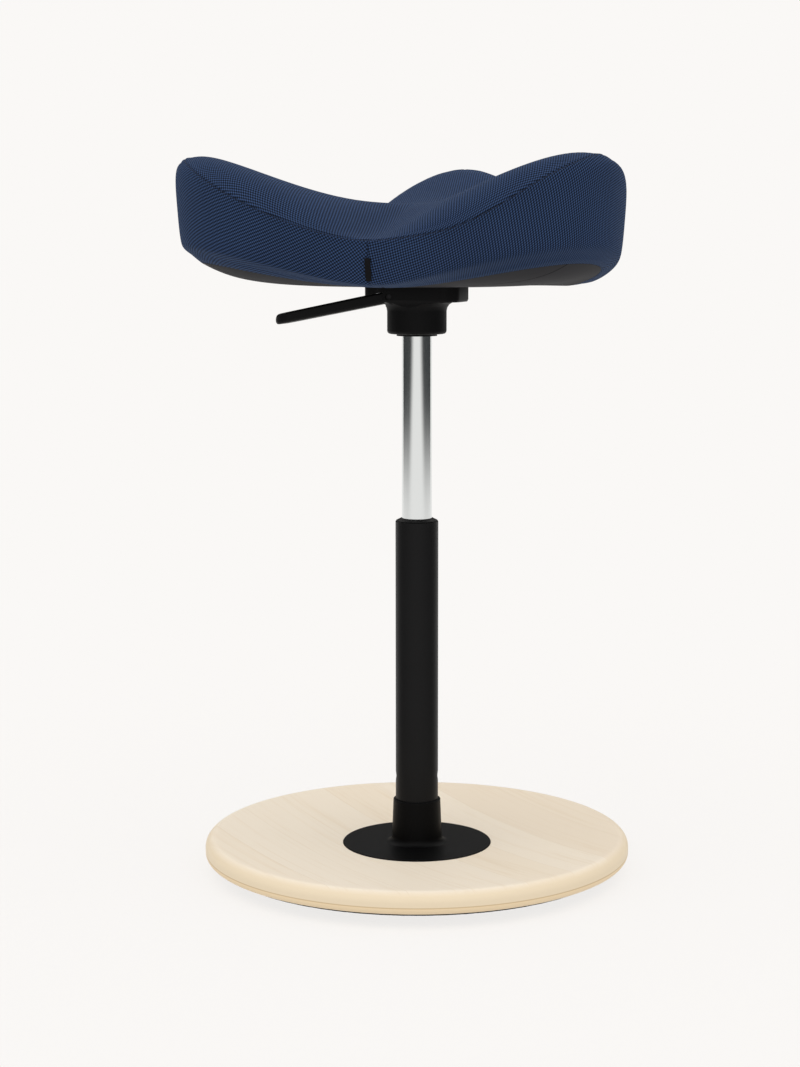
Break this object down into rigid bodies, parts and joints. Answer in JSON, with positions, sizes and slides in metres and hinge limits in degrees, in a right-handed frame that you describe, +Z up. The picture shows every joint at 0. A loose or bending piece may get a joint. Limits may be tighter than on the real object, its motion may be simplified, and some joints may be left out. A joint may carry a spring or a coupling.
{
  "type": "saddle stool",
  "caption": "Rocking saddle stool: padded woven saddle seat on a height-adjustable swivelling gas spring, with a release lever and a dished wooden disc foot.",
  "frame": {"origin": "On the column's axis, at the middle of the flat rest face under the foot.", "axes": "+Z up along the column, +Y towards the seat's front (its pommel), +X across the seat, so that the lever points to -X."},
  "size_m": [0.4068, 0.4, 0.6648],
  "materials": {
    "pale_wood": "satin lacquer over laminated wood",
    "dark_rubber": "matt",
    "black_coated_steel": "satin powder coat",
    "black_cast_housing": "satin coat over a casting",
    "bright_steel": "plain",
    "brass": "plain",
    "aluminium": "turned",
    "chrome": "polished",
    "black_plastic": "fine satin texture",
    "beech_ply": "bare moulded ply",
    "moulded_foam": "open-cell foam",
    "blue_woven_fabric": "two-tone basket weave, light blue over navy",
    "grey_moulded_cover": "smooth, matt",
    "black_tab": "bare woven tape"
  },
  "bodies": {
    "base": {"rubber_sole": "dark_rubber", "base_disc": "pale_wood", "base_flange": "black_coated_steel", "flange_screw_1": "bright_steel", "flange_screw_2": "bright_steel", "flange_screw_3": "bright_steel", "flange_screw_4": "bright_steel", "outer_tube": "black_coated_steel", "tube_end_cap": "bright_steel", "guide_bushing": "black_plastic", "lower_race": "bright_steel"},
    "cage": {"ball_cage": "brass"},
    "rod": {"upper_race": "bright_steel", "buffer_ring": "dark_rubber", "piston_rod": "bright_steel", "rod_washer": "bright_steel", "rod_clip": "bright_steel", "piston": "aluminium", "piston_ring": "dark_rubber"},
    "seat": {"gas_cylinder": "chrome", "rod_guide": "black_plastic", "rod_seal": "dark_rubber", "mechanism_housing": "black_cast_housing", "housing_screw_1": "bright_steel", "housing_screw_2": "bright_steel", "housing_screw_3": "bright_steel", "housing_screw_4": "bright_steel", "tee_nut_1": "bright_steel", "tee_nut_2": "bright_steel", "tee_nut_3": "bright_steel", "tee_nut_4": "bright_steel", "lever_pin": "bright_steel", "pin_clip_left": "bright_steel", "pin_clip_right": "bright_steel", "seat_shell": "beech_ply", "seat_foam": "moulded_foam", "underside_cover": "grey_moulded_cover", "cover_top": "blue_woven_fabric", "cover_side": "blue_woven_fabric", "label_tab": "black_tab"},
    "lever": {"lever": "black_plastic"},
    "valve": {"valve_pin": "bright_steel"}
  },
  "joints": [
    {"name": "seat_swivel", "type": "hinge", "parent": "base", "child": "rod", "pos_m": [0, 0, 0.0207], "axis": [0, 0, 1], "continuous": true},
    {"name": "bearing_roll", "type": "hinge", "parent": "base", "child": "cage", "pos_m": [0, 0, 0.0207], "axis": [0, 0, 1], "continuous": true},
    {"name": "height_slide", "type": "slide", "parent": "rod", "child": "seat", "axis": [0, 0, 1], "range_m": [-0.165, 0.095]},
    {"name": "lever_lift", "type": "hinge", "parent": "seat", "child": "lever", "pos_m": [-0.019, 0, 0.5389], "axis": [0, 1, 0], "range_deg": [0, 8], "stiffness_Nm_per_rad": 3, "springref_deg": -1.15},
    {"name": "valve_press", "type": "slide", "parent": "seat", "child": "valve", "axis": [0, 0, -1], "range_m": [0, 0.0032], "stiffness_N_per_m": 200, "springref_m": -0.002}
  ],
  "couplings": [
    {"joint": "bearing_roll", "follows": "seat_swivel", "ratio": 0.5},
    {"joint": "valve_press", "follows": "lever_lift", "m_per_rad": 0.0225}
  ]
}
